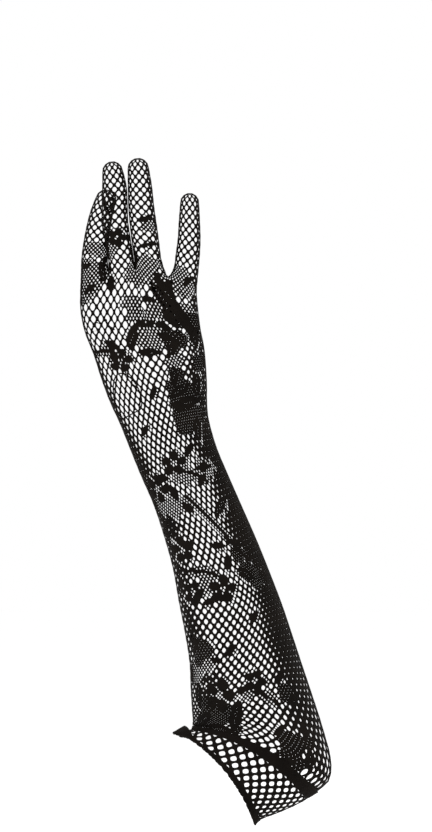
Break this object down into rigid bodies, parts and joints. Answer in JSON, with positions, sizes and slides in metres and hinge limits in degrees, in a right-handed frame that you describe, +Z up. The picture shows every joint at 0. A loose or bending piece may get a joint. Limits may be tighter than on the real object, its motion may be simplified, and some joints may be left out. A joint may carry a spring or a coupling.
{
  "type": "evening glove",
  "caption": "Elbow-length evening glove of black lace net for the right hand, with closed fingers, a plain net cuff and a close-knitted hem, in the form it has when worn.",
  "frame": {"origin": "centre of the wrist, where the glove sits on the arm", "axes": "+Z up towards the fingertips, -Y out of the back of the hand, +X towards the little finger"},
  "size_m": [0.1802, 0.08, 0.4766],
  "materials": {
    "lace_net": "knitted nylon lace net, near-black, soft sheen",
    "plain_net": "coarse knitted nylon net, near-black, matt",
    "close_knit": "close-knitted nylon band, near-black, soft sheen"
  },
  "bodies": {
    "root": {"lace_body": "lace_net", "index_finger": "lace_net", "middle_finger": "lace_net", "ring_finger": "lace_net", "little_finger": "lace_net", "thumb": "lace_net", "elbow_band": "close_knit", "net_cuff": "plain_net", "hem_band": "close_knit"}
  },
  "joints": []
}
